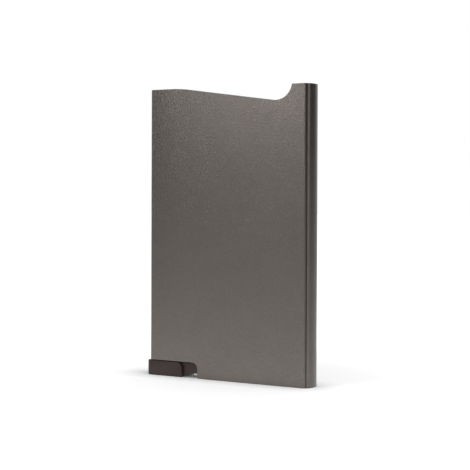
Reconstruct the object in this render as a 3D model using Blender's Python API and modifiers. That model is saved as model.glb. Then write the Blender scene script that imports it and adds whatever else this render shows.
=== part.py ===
"""Slim aluminium card holder. A slide lever at its lower corner turns a stepped arm that fans the cards out.

Metres, +Z up. The holder stands on its lower end with its front towards -Y and the lever at the lower
left. Every piece hangs from one empty, so that X = 0 below is the middle of the sleeve.
"""

import math

import bmesh
import bpy
from mathutils import Matrix, Vector

# The cards that the holder is made for
CARD_WIDTH = 0.05398
CARD_HEIGHT = 0.0856

# Fits between pieces
FIT_GAP = 0.0003
CUT_OVERRUN = 0.002

# Sleeve: an extruded tube, flat in front and behind, whose bulged sides are set a step lower
WALL = 0.001
POCKET_DEPTH = 0.006
PAD_STEP = 0.0005
PAD_INSET = 0.0016
PAD_EDGE_ROUND = 0.0003
STEP_FOOT = math.radians(60)
GROOVE_DEPTH = 0.00015
SIDE_BULGE_RADIUS = 0.008
SIDE_CORNER_RADIUS = 0.0018
BASE_TOP = 0.0091

# Card strips: piles that fill the rounded sides of the pocket and grip the cards' edges
STRIP_THICKNESS = 0.0018
STRIP_GRIP = 0.00009
STRIP_FOOT = 0.003
STRIP_LENGTH = 0.070

# Mouth: a flat crest at the left, a straight slope, and a round thumb notch beside the right ear
MOUTH_SLOPE = math.radians(8)
CREST_RADIUS = 0.05
NOTCH_RADIUS = 0.0058
NOTCH_DEPTH = 0.0049
NOTCH_FROM_SIDE = 0.012

# Corner cut-out, in which the lever slides
CUT_HEIGHT = 0.0052
CUT_LENGTH = 0.0195
CUT_CORNER_RADIUS = 0.002
CUT_EDGE_ROUND = 0.0008
CUT_FOOT_ROUND = 0.001

# Slide lever
LEVER_OVERHANG = 0.001
LEVER_LIFT = 0.0001
BOSS_LENGTH = 0.0144
BOSS_CORNER_RADIUS = 0.002
BOSS_END_RADIUS = 0.001
TONGUE_BOTTOM = 0.0014
TONGUE_COVER = 0.0006
HEEL_RADIUS = 0.0034
RAIL_HALF_DEPTH = 0.0018
RAIL_END_WALL = 0.0015
RAIL_TIP_RADIUS = 0.0006

# Stop post, which stands in a slot of the lever's rail and ends its travel
STOP_FROM_CUT = 0.016
STOP_RADIUS = 0.0008

# Ejector arm: a hub, a crank with a round knob below it, and a stack of stepped fins beside it
PIVOT_FROM_SIDE = 0.010
HUB_RADIUS = 0.0015
CRANK_LENGTH = 0.0054
CRANK_HALF_WIDTH = 0.0007
KNOB_RADIUS = 0.0009
FIN_COUNT = 5
FIN_PITCH = 0.00074
FIN_SHORTEST = 0.010
FIN_STEP = 0.004
FIN_TIP_RADIUS = 0.0009

# Pivot pin
PIN_RADIUS = 0.0006
PIN_CHAMFER = 0.00015

# Carrier: two halves that meet in the middle plane, close the lower end and hold the arm's pin
FLOOR_THICKNESS = 0.0006
PEG_RADIUS = 0.0008
PEG_REACH = 0.0013
RIGHT_PEG_FROM_SIDE = 0.009
LEFT_PEG_FROM_SIDE = 0.0046

# Snap barbs on the carrier, which lock in pockets on the inside of the sleeve
BARB_HEIGHT = 0.0005
BARB_BOTTOM = 0.0060
BARB_RISE = 0.0016
BARB_LAND = 0.0002
RIGHT_BARB_FROM_SIDE = 0.012
RIGHT_BARB_WIDTH = 0.006
LEFT_BARB_FROM_SIDE = 0.0056
LEFT_BARB_WIDTH = 0.002

# Facets
SIDE_SEGMENTS = 20
ARC_SEGMENTS = 12
CORNER_SEGMENTS = 6
ROUND_SEGMENTS = 32
SMOOTH_ANGLE = math.radians(35)

# How an outline drawn flat is turned before its extrusion runs along each axis
AXES = {"X": Vector((1, 0, 0)), "Y": Vector((0, 1, 0)), "Z": Vector((0, 0, 1))}
TURNS = {
    "X": Matrix(((0, 0, 1, 0), (1, 0, 0, 0), (0, 1, 0, 0), (0, 0, 0, 1))),
    "Y": Matrix(((1, 0, 0, 0), (0, 0, -1, 0), (0, 1, 0, 0), (0, 0, 0, 1))),
    "Z": Matrix.Identity(4),
}

# Sizes that follow from the ones above
SLEEVE_WIDTH = CARD_WIDTH + 2 * (WALL + FIT_GAP + STRIP_THICKNESS - STRIP_GRIP)
SLEEVE_DEPTH = POCKET_DEPTH + 2 * WALL
SLEEVE_HEIGHT = BASE_TOP + FIT_GAP + CARD_HEIGHT
SIDE_X = SLEEVE_WIDTH / 2
SIDE_HALF_DEPTH = SLEEVE_DEPTH / 2 - PAD_STEP
SIDE_CORNER_Y = SIDE_HALF_DEPTH - SIDE_CORNER_RADIUS
PAD_EDGE_X = SIDE_X - PAD_INSET
POCKET_HALF_DEPTH = POCKET_DEPTH / 2
POCKET_SIDE_RADIUS = SIDE_HALF_DEPTH - WALL
POCKET_SIDE_X = SIDE_X - WALL - POCKET_SIDE_RADIUS
CARRIER_HALF_DEPTH = POCKET_HALF_DEPTH - FIT_GAP
CUT_RIGHT_X = CUT_LENGTH - SIDE_X
BOSS_LEFT_X = -SIDE_X - LEVER_OVERHANG
BOSS_RIGHT_X = BOSS_LEFT_X + BOSS_LENGTH
LEVER_TOP = CUT_HEIGHT - FIT_GAP
LEVER_TRAVEL = CUT_RIGHT_X - BOSS_RIGHT_X - FIT_GAP
TONGUE_RIGHT_X = CUT_RIGHT_X + TONGUE_COVER
STOP_X = CUT_RIGHT_X + STOP_FROM_CUT
STOP_Z = (TONGUE_BOTTOM + LEVER_TOP) / 2
RAIL_RIGHT_X = STOP_X + STOP_RADIUS + FIT_GAP + RAIL_END_WALL
PIVOT_X = PIVOT_FROM_SIDE - SIDE_X
PIVOT_Z = BASE_TOP - HUB_RADIUS
HALF_SWING = math.asin(LEVER_TRAVEL / 2 / CRANK_LENGTH)
KNOB_X = PIVOT_X - LEVER_TRAVEL / 2
KNOB_Z = PIVOT_Z - CRANK_LENGTH * math.cos(HALF_SWING)
KNOB_LOW_Z = PIVOT_Z - CRANK_LENGTH
ARM_HALF_DEPTH = FIN_COUNT * FIN_PITCH / 2
ARM_RIGHT_X = PIVOT_X + FIN_SHORTEST + (FIN_COUNT - 1) * FIN_STEP
ARM_POCKET_HALF_DEPTH = ARM_HALF_DEPTH + FIT_GAP
HEEL_SWEEP = math.acos(1 - (TONGUE_BOTTOM - LEVER_LIFT) / HEEL_RADIUS)
HEEL_RIGHT_X = BOSS_RIGHT_X + HEEL_RADIUS * math.sin(HEEL_SWEEP)
CARRIER_LEFT_X = max(CUT_RIGHT_X, HEEL_RIGHT_X + LEVER_TRAVEL) + FIT_GAP
BARB_TOP = BARB_BOTTOM + BARB_RISE


def clear_scene():
    """Removes whatever the scene holds."""
    for scene_object in list(bpy.data.objects):
        bpy.data.objects.remove(scene_object, do_unlink=True)


def make_collection(name, is_helper):
    """A collection linked to the scene. Helpers' collections stay out of renders."""
    collection = bpy.data.collections.new(name)
    bpy.context.scene.collection.children.link(collection)
    collection.hide_render = is_helper
    return collection


def make_material(name, colour, roughness, metallic):
    """A Principled material with one colour."""
    material = bpy.data.materials.new(name)
    material.use_nodes = True
    shader = material.node_tree.nodes["Principled BSDF"]
    shader.inputs["Base Color"].default_value = (*colour, 1.0)
    shader.inputs["Roughness"].default_value = roughness
    shader.inputs["Metallic"].default_value = metallic
    return material


def anodised_aluminium():
    """Gunmetal anodising over a fine bead blast."""
    return make_material("anodised_aluminium", (0.165, 0.148, 0.132), 0.42, 0.85)


def dark_plastic():
    """Dark brown-grey acetal."""
    return make_material("dark_plastic", (0.045, 0.038, 0.037), 0.5, 0.0)


def pin_steel():
    """Bright ground steel."""
    return make_material("pin_steel", (0.55, 0.55, 0.56), 0.25, 1.0)


def strip_pile():
    """Short black pile."""
    return make_material("strip_pile", (0.02, 0.02, 0.02), 0.95, 0.0)


def arc(centre, radius, start, end, segments):
    """Points on an arc from the angle start to the angle end, both ends included."""
    steps = [start + (end - start) * step / segments for step in range(segments + 1)]
    return [(centre[0] + radius * math.cos(a), centre[1] + radius * math.sin(a)) for a in steps]


def rectangle(low, high):
    """The corners of a rectangle."""
    return [(low[0], low[1]), (high[0], low[1]), (high[0], high[1]), (low[0], high[1])]


def mirrored_x(points):
    """The points mirrored in X, in reverse order so that the outline runs on."""
    return [(-x, y) for x, y in reversed(points)]


def turned_half(points):
    """The points turned half a turn about the origin."""
    return [(-x, -y) for x, y in points]


def rounded_corner(before, corner, after, radius):
    """The arc that rounds a corner between the points before and after it."""
    back = (Vector(before) - Vector(corner)).normalized()
    on = (Vector(after) - Vector(corner)).normalized()
    half_angle = back.angle(on) / 2
    centre = Vector(corner) + (back + on).normalized() * radius / math.sin(half_angle)
    start = Vector(corner) + back * radius / math.tan(half_angle) - centre
    end = Vector(corner) + on * radius / math.tan(half_angle) - centre
    first = math.atan2(start.y, start.x)
    turn = math.remainder(math.atan2(end.y, end.x) - first, math.tau)
    return arc(centre, radius, first, first + turn, CORNER_SEGMENTS)


def tapered_bar(start, start_radius, end, end_radius):
    """Outline of a bar with round ends of two radii and straight flanks tangent to both."""
    run = Vector(end) - Vector(start)
    heading = math.atan2(run.y, run.x)
    lean = math.acos((start_radius - end_radius) / run.length)
    return arc(start, start_radius, heading + lean, heading + math.tau - lean, ARC_SEGMENTS) + arc(
        end, end_radius, heading - lean, heading + lean, ARC_SEGMENTS
    )


def prism(name, outlines, low, high, along="Y"):
    """A mesh object: outlines filled and extruded along an axis. Inner outlines are holes.

    The points are (Y, Z) for an extrusion along X, (X, Z) for one along Y and (X, Y) for one along Z.
    """
    curve = bpy.data.curves.new(name, "CURVE")
    curve.dimensions = "2D"
    curve.fill_mode = "BOTH"
    curve.extrude = (high - low) / 2
    for points in outlines:
        spline = curve.splines.new("POLY")
        spline.points.add(len(points) - 1)
        for spline_point, (across, up) in zip(spline.points, points):
            spline_point.co = (across, up, 0, 1)
        spline.use_cyclic_u = True
    guide = bpy.data.objects.new(name + "_guide", curve)
    bpy.context.scene.collection.objects.link(guide)
    mesh = bpy.data.meshes.new_from_object(guide.evaluated_get(bpy.context.evaluated_depsgraph_get()))
    bpy.data.objects.remove(guide)
    bpy.data.curves.remove(curve)
    mesh.name = name
    mesh.transform(Matrix.Translation(AXES[along] * (low + high) / 2) @ TURNS[along])
    weld(mesh)
    return bpy.data.objects.new(name, mesh)


def weld(mesh):
    """Joins the loose caps of a converted curve to its sides and turns all faces outwards."""
    shape = bmesh.new()
    shape.from_mesh(mesh)
    bmesh.ops.remove_doubles(shape, verts=shape.verts, dist=FIT_GAP / 1000)
    bmesh.ops.recalc_face_normals(shape, faces=shape.faces)
    shape.to_mesh(mesh)
    shape.free()


def cylinder(name, x, z, radius, low, high):
    """A cylinder along Y between two values of Y."""
    shape = bmesh.new()
    place = Matrix.Translation((x, (low + high) / 2, z)) @ Matrix.Rotation(math.pi / 2, 4, "X")
    bmesh.ops.create_cone(
        shape,
        cap_ends=True,
        segments=ROUND_SEGMENTS,
        radius1=radius,
        radius2=radius,
        depth=high - low,
        matrix=place,
    )
    mesh = bpy.data.meshes.new(name)
    shape.to_mesh(mesh)
    shape.free()
    return bpy.data.objects.new(name, mesh)


class Holder:
    """The holder's collections, its root empty, and the ways that pieces and helpers join them."""

    def __init__(self):
        self.pieces = make_collection("card_holder", False)
        self.helpers = make_collection("card_holder_cutters", True)
        self.root = bpy.data.objects.new("holder_root", None)
        self.root.location.x = LEVER_OVERHANG / 2
        self.pieces.objects.link(self.root)

    def axis(self, name, location):
        """An empty on a joint's axis."""
        empty = bpy.data.objects.new(name, None)
        empty.location = location
        empty.parent = self.root
        self.pieces.objects.link(empty)
        return empty

    def piece(self, piece, material, axis=None):
        """Adds a finished piece, which a moving one hangs from the empty on its axis."""
        self.pieces.objects.link(piece)
        piece.parent = axis or self.root
        if axis:
            piece.data.transform(Matrix.Translation(-axis.location))
        piece.data.materials.append(material)
        piece.data.shade_smooth()
        piece.data.set_sharp_from_angle(angle=SMOOTH_ANGLE)
        return piece

    def apply(self, target, helper, operation):
        """Cuts the helper from the target, or joins or intersects them."""
        self.helpers.objects.link(helper)
        helper.parent = self.root
        helper.hide_render = True
        helper.display_type = "WIRE"
        modifier = target.modifiers.new(helper.name, "BOOLEAN")
        modifier.operation = operation
        modifier.object = helper

    def cut(self, target, *cutters):
        """Cuts each cutter from the target."""
        for cutter in cutters:
            self.apply(target, cutter, "DIFFERENCE")

    def join(self, target, *additions):
        """Joins each addition to the target."""
        for addition in additions:
            self.apply(target, addition, "UNION")


def side_outline():
    """The sleeve's right side seen from above: a shallow bulge between two tighter corners."""
    bulge_x = SIDE_X - SIDE_BULGE_RADIUS
    turn = math.asin(SIDE_CORNER_Y / (SIDE_BULGE_RADIUS - SIDE_CORNER_RADIUS))
    corner_x = bulge_x + (SIDE_BULGE_RADIUS - SIDE_CORNER_RADIUS) * math.cos(turn)
    front = arc((corner_x, -SIDE_CORNER_Y), SIDE_CORNER_RADIUS, -STEP_FOOT, -turn, CORNER_SEGMENTS)
    bulge = arc((bulge_x, 0), SIDE_BULGE_RADIUS, -turn, turn, ARC_SEGMENTS)
    rear = [(x, -y) for x, y in reversed(front)]
    return front + bulge[1:-1] + rear


def outer_section(shift=0):
    """The sleeve's outline seen from above: flat pads, a groove at each step's foot, bulged sides."""
    side = side_outline()
    groove = (PAD_EDGE_X, side[0][1] + GROOVE_DEPTH)
    front = rounded_corner((0, -SLEEVE_DEPTH / 2), (PAD_EDGE_X, -SLEEVE_DEPTH / 2), groove, PAD_EDGE_ROUND)
    front.append(groove)
    rear = [(x, -y) for x, y in reversed(front)]
    right = front + side + rear
    return [(x + shift, y) for x, y in right + turned_half(right)]


def pocket_section():
    """The pocket's outline seen from above: flat in the middle, with rounded sides one step lower."""
    side = arc((POCKET_SIDE_X, 0), POCKET_SIDE_RADIUS, -math.pi / 2, math.pi / 2, SIDE_SEGMENTS)
    shoulder = (POCKET_SIDE_X, POCKET_HALF_DEPTH)
    right = [(shoulder[0], -shoulder[1])] + side + [shoulder]
    return right + turned_half(right)


def mouth_outline():
    """What the wave takes off the top: crest, slope and thumb notch, tangent to each other."""
    top = SLEEVE_HEIGHT
    notch = (SIDE_X - NOTCH_FROM_SIDE, top - NOTCH_DEPTH + NOTCH_RADIUS)
    down = -math.pi / 2 - MOUTH_SLOPE
    ear = -math.asin((NOTCH_RADIUS - NOTCH_DEPTH) / NOTCH_RADIUS)
    notch_arc = arc(notch, NOTCH_RADIUS, down, ear, 2 * ARC_SEGMENTS)
    crest_drop = CREST_RADIUS * (1 - math.cos(MOUTH_SLOPE))
    slope_drop = top - crest_drop - notch_arc[0][1]
    crest_end_x = notch_arc[0][0] - slope_drop / math.tan(MOUTH_SLOPE)
    crest = (crest_end_x - CREST_RADIUS * math.sin(MOUTH_SLOPE), top - CREST_RADIUS)
    crest_arc = arc(crest, CREST_RADIUS, math.pi / 2, math.pi / 2 - MOUTH_SLOPE, ARC_SEGMENTS)
    above = top + CUT_OVERRUN
    return crest_arc + notch_arc + [(notch_arc[-1][0], above), (crest_arc[0][0], above)]


def corner_outline():
    """What the lever's cut-out takes off the lower left corner, with the sleeve's foot eased."""
    foot = (CUT_RIGHT_X + CUT_FOOT_ROUND, CUT_FOOT_ROUND)
    inner = (CUT_RIGHT_X - CUT_CORNER_RADIUS, CUT_HEIGHT - CUT_CORNER_RADIUS)
    edge = (-SIDE_X + CUT_EDGE_ROUND, CUT_HEIGHT + CUT_EDGE_ROUND)
    outside_x = -SIDE_X - CUT_OVERRUN
    return (
        [(outside_x, -CUT_OVERRUN), (foot[0], -CUT_OVERRUN)]
        + arc(foot, CUT_FOOT_ROUND, -math.pi / 2, -math.pi, CORNER_SEGMENTS)
        + arc(inner, CUT_CORNER_RADIUS, 0, math.pi / 2, ARC_SEGMENTS)
        + arc(edge, CUT_EDGE_ROUND, -math.pi / 2, -math.pi, ARC_SEGMENTS)
        + [(outside_x, edge[1])]
    )


def barb_places():
    """The left and right ends of each snap barb along X."""
    right = SIDE_X - RIGHT_BARB_FROM_SIDE
    left = LEFT_BARB_FROM_SIDE - SIDE_X
    widths = ((right, RIGHT_BARB_WIDTH), (left, LEFT_BARB_WIDTH))
    return [(middle - width / 2, middle + width / 2) for middle, width in widths]


def snap_pockets():
    """Cutters for the pockets in the sleeve's inner faces, one for each place, through both faces."""
    reach = POCKET_HALF_DEPTH + BARB_HEIGHT
    for number, (low_x, high_x) in enumerate(barb_places()):
        low = (low_x - FIT_GAP, BARB_BOTTOM - FIT_GAP)
        high = (high_x + FIT_GAP, BARB_TOP + FIT_GAP)
        yield prism(f"snap_pocket_{number}", [rectangle(low, high)], -reach, reach)


def build_sleeve(holder):
    """The extruded tube with its mouth, its corner cut-out and its snap pockets."""
    sections = [outer_section(), pocket_section()]
    sleeve = prism("sleeve", sections, 0, SLEEVE_HEIGHT, along="Z")
    holder.piece(sleeve, anodised_aluminium())
    reach = SLEEVE_DEPTH / 2 + CUT_OVERRUN
    holder.cut(
        sleeve,
        prism("mouth_cut", [mouth_outline()], -reach, reach),
        prism("corner_cut", [corner_outline()], -reach, reach),
        *snap_pockets(),
    )


def boss_outline():
    """Front view of the lever's boss: one corner matches the cut-out's and the outer one is eased."""
    corner = (BOSS_RIGHT_X - BOSS_CORNER_RADIUS, LEVER_TOP - BOSS_CORNER_RADIUS)
    end = (BOSS_LEFT_X + BOSS_END_RADIUS, LEVER_TOP - BOSS_END_RADIUS)
    return (
        [(BOSS_LEFT_X, LEVER_LIFT), (BOSS_RIGHT_X, LEVER_LIFT)]
        + arc(corner, BOSS_CORNER_RADIUS, 0, math.pi / 2, ARC_SEGMENTS)
        + arc(end, BOSS_END_RADIUS, math.pi / 2, math.pi, CORNER_SEGMENTS)
    )


def tongue_outline():
    """Front view of the recessed tongue, whose lower edge sweeps down to the boss in a round heel."""
    heel = (HEEL_RIGHT_X, TONGUE_BOTTOM - HEEL_RADIUS)
    heel_arc = arc(heel, HEEL_RADIUS, math.pi / 2 + HEEL_SWEEP, math.pi / 2, ARC_SEGMENTS)
    right = [(TONGUE_RIGHT_X, TONGUE_BOTTOM), (TONGUE_RIGHT_X, LEVER_TOP)]
    return [(KNOB_X, LEVER_LIFT)] + heel_arc + right + [(KNOB_X, LEVER_TOP)]


def rail_outline():
    """Front view of the rail that runs on into the carrier, with a rounded tip."""
    low = (RAIL_RIGHT_X - RAIL_TIP_RADIUS, TONGUE_BOTTOM + RAIL_TIP_RADIUS)
    high = (RAIL_RIGHT_X - RAIL_TIP_RADIUS, LEVER_TOP - RAIL_TIP_RADIUS)
    return (
        [(CUT_RIGHT_X, TONGUE_BOTTOM)]
        + arc(low, RAIL_TIP_RADIUS, -math.pi / 2, 0, ARC_SEGMENTS)
        + arc(high, RAIL_TIP_RADIUS, 0, math.pi / 2, ARC_SEGMENTS)
        + [(CUT_RIGHT_X, LEVER_TOP)]
    )


def stop_slot_outline():
    """The slot that the stop post stands in, as long as the lever's travel."""
    radius = STOP_RADIUS + FIT_GAP
    right = arc((STOP_X, STOP_Z), radius, -math.pi / 2, math.pi / 2, ARC_SEGMENTS)
    left = arc((STOP_X - LEVER_TRAVEL, STOP_Z), radius, math.pi / 2, 1.5 * math.pi, ARC_SEGMENTS)
    return right + left


def drive_slot_outline():
    """The slot that the knob works in: straight where the knob runs, flared above for the crank."""
    radius = KNOB_RADIUS + FIT_GAP
    lowest = (KNOB_X, KNOB_LOW_Z)
    foot = radius / math.cos(HALF_SWING)
    above = LEVER_TOP + CUT_OVERRUN
    flare = (above - KNOB_Z) * math.tan(HALF_SWING) + foot
    return (
        arc(lowest, radius, math.pi, math.tau, ARC_SEGMENTS)
        + [(KNOB_X + foot, KNOB_Z), (KNOB_X + flare, above)]
        + [(KNOB_X - flare, above), (KNOB_X - foot, KNOB_Z)]
    )


def build_slide_lever(holder):
    """The boss that a finger pushes, its tongue, and the rail that guides it."""
    axis = holder.axis("lever_axis", (KNOB_X, 0, STOP_Z))
    half_depth = SLEEVE_DEPTH / 2
    slot_half_depth = ARM_HALF_DEPTH + FIT_GAP
    lever = prism("slide_lever", [boss_outline()], -half_depth - WALL, half_depth + WALL)
    holder.piece(lever, dark_plastic(), axis)
    section = [outer_section(-LEVER_OVERHANG)]
    holder.apply(
        lever,
        prism("boss_section", section, -CUT_OVERRUN, LEVER_TOP + CUT_OVERRUN, along="Z"),
        "INTERSECT",
    )
    holder.join(
        lever,
        prism("tongue", [tongue_outline()], -CARRIER_HALF_DEPTH, CARRIER_HALF_DEPTH),
        prism("rail", [rail_outline()], -RAIL_HALF_DEPTH, RAIL_HALF_DEPTH),
    )
    reach = half_depth + CUT_OVERRUN
    holder.cut(
        lever,
        prism("drive_slot", [drive_slot_outline()], -slot_half_depth, slot_half_depth),
        prism("stop_slot", [stop_slot_outline()], -reach, reach),
    )


def arm_outline():
    """Front view of the hub and the longest fin at rest, level along the top and tapered below."""
    tip = (ARM_RIGHT_X - FIN_TIP_RADIUS, BASE_TOP - FIN_TIP_RADIUS)
    return tapered_bar((PIVOT_X, PIVOT_Z), HUB_RADIUS, tip, FIN_TIP_RADIUS)


def fin_step_outline(length):
    """What is taken off the arm beyond a fin of this length, round a tip as high as the arm is there."""
    taper = 2 * (HUB_RADIUS - FIN_TIP_RADIUS) / (ARM_RIGHT_X - FIN_TIP_RADIUS - PIVOT_X)
    radius = (2 * HUB_RADIUS - length * taper) / 2
    tip = (PIVOT_X + length - radius, BASE_TOP - radius)
    above, below = BASE_TOP + CUT_OVERRUN, PIVOT_Z - HUB_RADIUS - CUT_OVERRUN
    right = ARM_RIGHT_X + CUT_OVERRUN
    tip_arc = arc(tip, radius, math.pi / 2, -math.pi / 2, ARC_SEGMENTS)
    return [(tip[0], above)] + tip_arc + [(tip[0], below), (right, below), (right, above)]


def build_ejector_arm(holder):
    """Stepped fins on a hub, the shortest in front, and the crank that the lever drives."""
    axis = holder.axis("arm_axis", (PIVOT_X, 0, PIVOT_Z))
    arm = prism("ejector_arm", [arm_outline()], -ARM_HALF_DEPTH, ARM_HALF_DEPTH)
    holder.piece(arm, dark_plastic(), axis)
    crank_half_depth = ARM_HALF_DEPTH - FIN_PITCH / 2
    crank = tapered_bar((KNOB_X, KNOB_Z), KNOB_RADIUS, (PIVOT_X, PIVOT_Z), CRANK_HALF_WIDTH)
    holder.join(arm, prism("crank", [crank], -crank_half_depth, crank_half_depth))
    reach = ARM_HALF_DEPTH + CUT_OVERRUN
    for step in range(FIN_COUNT - 1):
        outline = fin_step_outline(FIN_SHORTEST + step * FIN_STEP)
        back = (step + 1) * FIN_PITCH - ARM_HALF_DEPTH
        holder.cut(arm, prism(f"fin_step_{step}", [outline], -reach, back))
    bore = PIN_RADIUS + FIT_GAP
    holder.cut(arm, cylinder("arm_bore", PIVOT_X, PIVOT_Z, bore, -reach, reach))


def build_pivot_pin(holder):
    """The ground pin that the arm turns on, held by both cheeks of the carrier."""
    pin = cylinder("pivot_pin", PIVOT_X, PIVOT_Z, PIN_RADIUS, -CARRIER_HALF_DEPTH, CARRIER_HALF_DEPTH)
    holder.piece(pin, pin_steel())
    chamfer = pin.modifiers.new("chamfer", "BEVEL")
    chamfer.width = PIN_CHAMFER
    chamfer.limit_method = "ANGLE"


def arm_pocket_outline():
    """Front view of the space that the arm needs in the carrier, open above and, round the crank, below."""
    crank_reach = (PIVOT_Z - CUT_HEIGHT) * math.tan(HALF_SWING)
    crank_reach += (KNOB_RADIUS + FIT_GAP) / math.cos(HALF_SWING)
    half_opening = max(crank_reach, HUB_RADIUS + FIT_GAP)
    left, middle = PIVOT_X - half_opening, PIVOT_X + half_opening
    right = ARM_RIGHT_X + FIT_GAP
    below, above = CUT_HEIGHT - CUT_OVERRUN, BASE_TOP + CUT_OVERRUN
    floor = CUT_HEIGHT + FLOOR_THICKNESS
    return [(left, below), (middle, below), (middle, floor), (right, floor), (right, above), (left, above)]


def half_section(side):
    """Half of the section that fits in the pocket, a hair short of the middle plane."""
    radius = POCKET_SIDE_RADIUS - FIT_GAP
    lowest = math.asin(FIT_GAP / 2 / radius)
    right = arc((POCKET_SIDE_X, 0), radius, lowest, math.pi / 2, SIDE_SEGMENTS)
    right.append((POCKET_SIDE_X - FIT_GAP, CARRIER_HALF_DEPTH))
    rear = right + mirrored_x(right)
    return rear if side > 0 else turned_half(rear)


def lever_channels(name):
    """Cutters for the channel that the lever runs in: full depth for the tongue, narrow for the rail."""
    low = (CARRIER_LEFT_X - CUT_OVERRUN, TONGUE_BOTTOM - FIT_GAP)
    tongue_end = (TONGUE_RIGHT_X + LEVER_TRAVEL + FIT_GAP, CUT_HEIGHT)
    rail_end = (RAIL_RIGHT_X + LEVER_TRAVEL + FIT_GAP, CUT_HEIGHT)
    reach = SLEEVE_DEPTH / 2
    rail_reach = RAIL_HALF_DEPTH + FIT_GAP
    yield prism(f"{name}_tongue_channel", [rectangle(low, tongue_end)], -reach, reach)
    yield prism(f"{name}_rail_channel", [rectangle(low, rail_end)], -rail_reach, rail_reach)


def snap_barbs(name, side):
    """Wedges on the outer face: a ramp that lets the carrier in from below, and a ledge that holds it."""
    inside = CARRIER_HALF_DEPTH - BARB_HEIGHT
    tip = POCKET_HALF_DEPTH + BARB_HEIGHT - FIT_GAP
    wedge = [(inside, BARB_BOTTOM), (tip, BARB_BOTTOM), (tip, BARB_BOTTOM + BARB_LAND)]
    wedge += [(CARRIER_HALF_DEPTH, BARB_TOP), (inside, BARB_TOP)]
    outline = [(side * y, z) for y, z in wedge]
    for number, (low_x, high_x) in enumerate(barb_places()):
        yield prism(f"{name}_barb_{number}", [outline], low_x, high_x, along="X")


def peg_places():
    """Where the two locating pegs stand: in the right block and in the left post."""
    return (
        (SIDE_X - RIGHT_PEG_FROM_SIDE, BASE_TOP / 2),
        (LEFT_PEG_FROM_SIDE - SIDE_X, (CUT_HEIGHT + BASE_TOP) / 2),
    )


def build_carrier_half(holder, name, side):
    """What both halves share. Side is 1 for the rear half and -1 for the front half."""
    half = prism(name, [half_section(side)], FIT_GAP, BASE_TOP, along="Z")
    holder.piece(half, dark_plastic())
    reach = SLEEVE_DEPTH / 2
    corner = rectangle((-SIDE_X - CUT_OVERRUN, -CUT_OVERRUN), (CARRIER_LEFT_X, CUT_HEIGHT))
    holder.cut(
        half,
        prism(f"{name}_corner", [corner], -reach, reach),
        prism(f"{name}_pocket", [arm_pocket_outline()], -ARM_POCKET_HALF_DEPTH, ARM_POCKET_HALF_DEPTH),
        *lever_channels(name),
        cylinder(f"{name}_bore", PIVOT_X, PIVOT_Z, PIN_RADIUS + FIT_GAP, -reach, reach),
    )
    holder.join(half, *snap_barbs(name, side))
    return half


def build_rear_carrier(holder):
    """The rear half, with the locating pegs and the post that stops the lever."""
    rear = build_carrier_half(holder, "rear_carrier", 1)
    for number, (x, z) in enumerate(peg_places()):
        holder.join(rear, cylinder(f"peg_{number}", x, z, PEG_RADIUS, -PEG_REACH, PEG_REACH))
    root = (RAIL_HALF_DEPTH + FIT_GAP + CARRIER_HALF_DEPTH) / 2
    holder.join(rear, cylinder("stop_post", STOP_X, STOP_Z, STOP_RADIUS, -RAIL_HALF_DEPTH, root))


def build_front_carrier(holder):
    """The front half, with the sockets for the pegs."""
    front = build_carrier_half(holder, "front_carrier", -1)
    depth = PEG_REACH + FIT_GAP
    for number, (x, z) in enumerate(peg_places()):
        holder.cut(front, cylinder(f"socket_{number}", x, z, PEG_RADIUS + FIT_GAP, -depth, depth))


def build_card_strips(holder):
    """The two piles, shaped to the rounded sides, flat where they grip the cards."""
    radius = POCKET_SIDE_RADIUS - FIT_GAP
    flat_x = SIDE_X - WALL - FIT_GAP - STRIP_THICKNESS
    reach = math.acos((flat_x - POCKET_SIDE_X) / radius)
    right = arc((POCKET_SIDE_X, 0), radius, -reach, reach, SIDE_SEGMENTS)
    foot = BASE_TOP + STRIP_FOOT
    pile = strip_pile()
    for name, outline in (("left_card_strip", mirrored_x(right)), ("right_card_strip", right)):
        holder.piece(prism(name, [outline], foot, foot + STRIP_LENGTH, along="Z"), pile)


def main():
    clear_scene()
    holder = Holder()
    build_sleeve(holder)
    build_front_carrier(holder)
    build_rear_carrier(holder)
    build_slide_lever(holder)
    build_ejector_arm(holder)
    build_pivot_pin(holder)
    build_card_strips(holder)


main()
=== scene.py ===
# %% [markdown]
# # A slim aluminium card holder, finished for the camera
#
# The holder is an extruded tube with a wave cut into its mouth, a moulded lever at its lower corner and a
# stepped arm inside. The frame below holds every piece at its real size and place. This lesson gives each
# one the small things that the eye looks for: edges that are never quite sharp, a bead-blasted grain, a
# moulded texture and a pile.

# %% Load the frame and read its parts' boxes
import math

import bmesh
import bpy
from mathutils import Euler, Matrix, Vector


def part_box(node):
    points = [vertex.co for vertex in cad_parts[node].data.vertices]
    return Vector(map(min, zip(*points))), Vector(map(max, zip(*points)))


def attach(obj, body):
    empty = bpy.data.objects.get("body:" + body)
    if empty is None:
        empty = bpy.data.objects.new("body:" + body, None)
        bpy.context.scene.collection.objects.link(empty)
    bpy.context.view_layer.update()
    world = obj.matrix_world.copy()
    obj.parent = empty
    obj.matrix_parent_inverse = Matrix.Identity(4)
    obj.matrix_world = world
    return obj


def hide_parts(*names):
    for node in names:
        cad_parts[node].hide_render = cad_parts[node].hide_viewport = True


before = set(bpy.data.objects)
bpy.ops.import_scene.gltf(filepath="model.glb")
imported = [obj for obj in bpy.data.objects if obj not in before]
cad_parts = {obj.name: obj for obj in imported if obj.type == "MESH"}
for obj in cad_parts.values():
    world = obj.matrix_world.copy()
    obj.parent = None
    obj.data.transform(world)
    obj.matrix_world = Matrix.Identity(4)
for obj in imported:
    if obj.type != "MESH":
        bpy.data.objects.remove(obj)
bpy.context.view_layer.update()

MM = 0.001

# %% [markdown]
# The photographer stood at the right of the holder's front and looked very slightly down. The camera's
# place is worked out from how the straight edges of the tube run in the picture, so it is given as a
# designer would measure it in a studio: an angle round the holder, a distance and a height.

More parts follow.
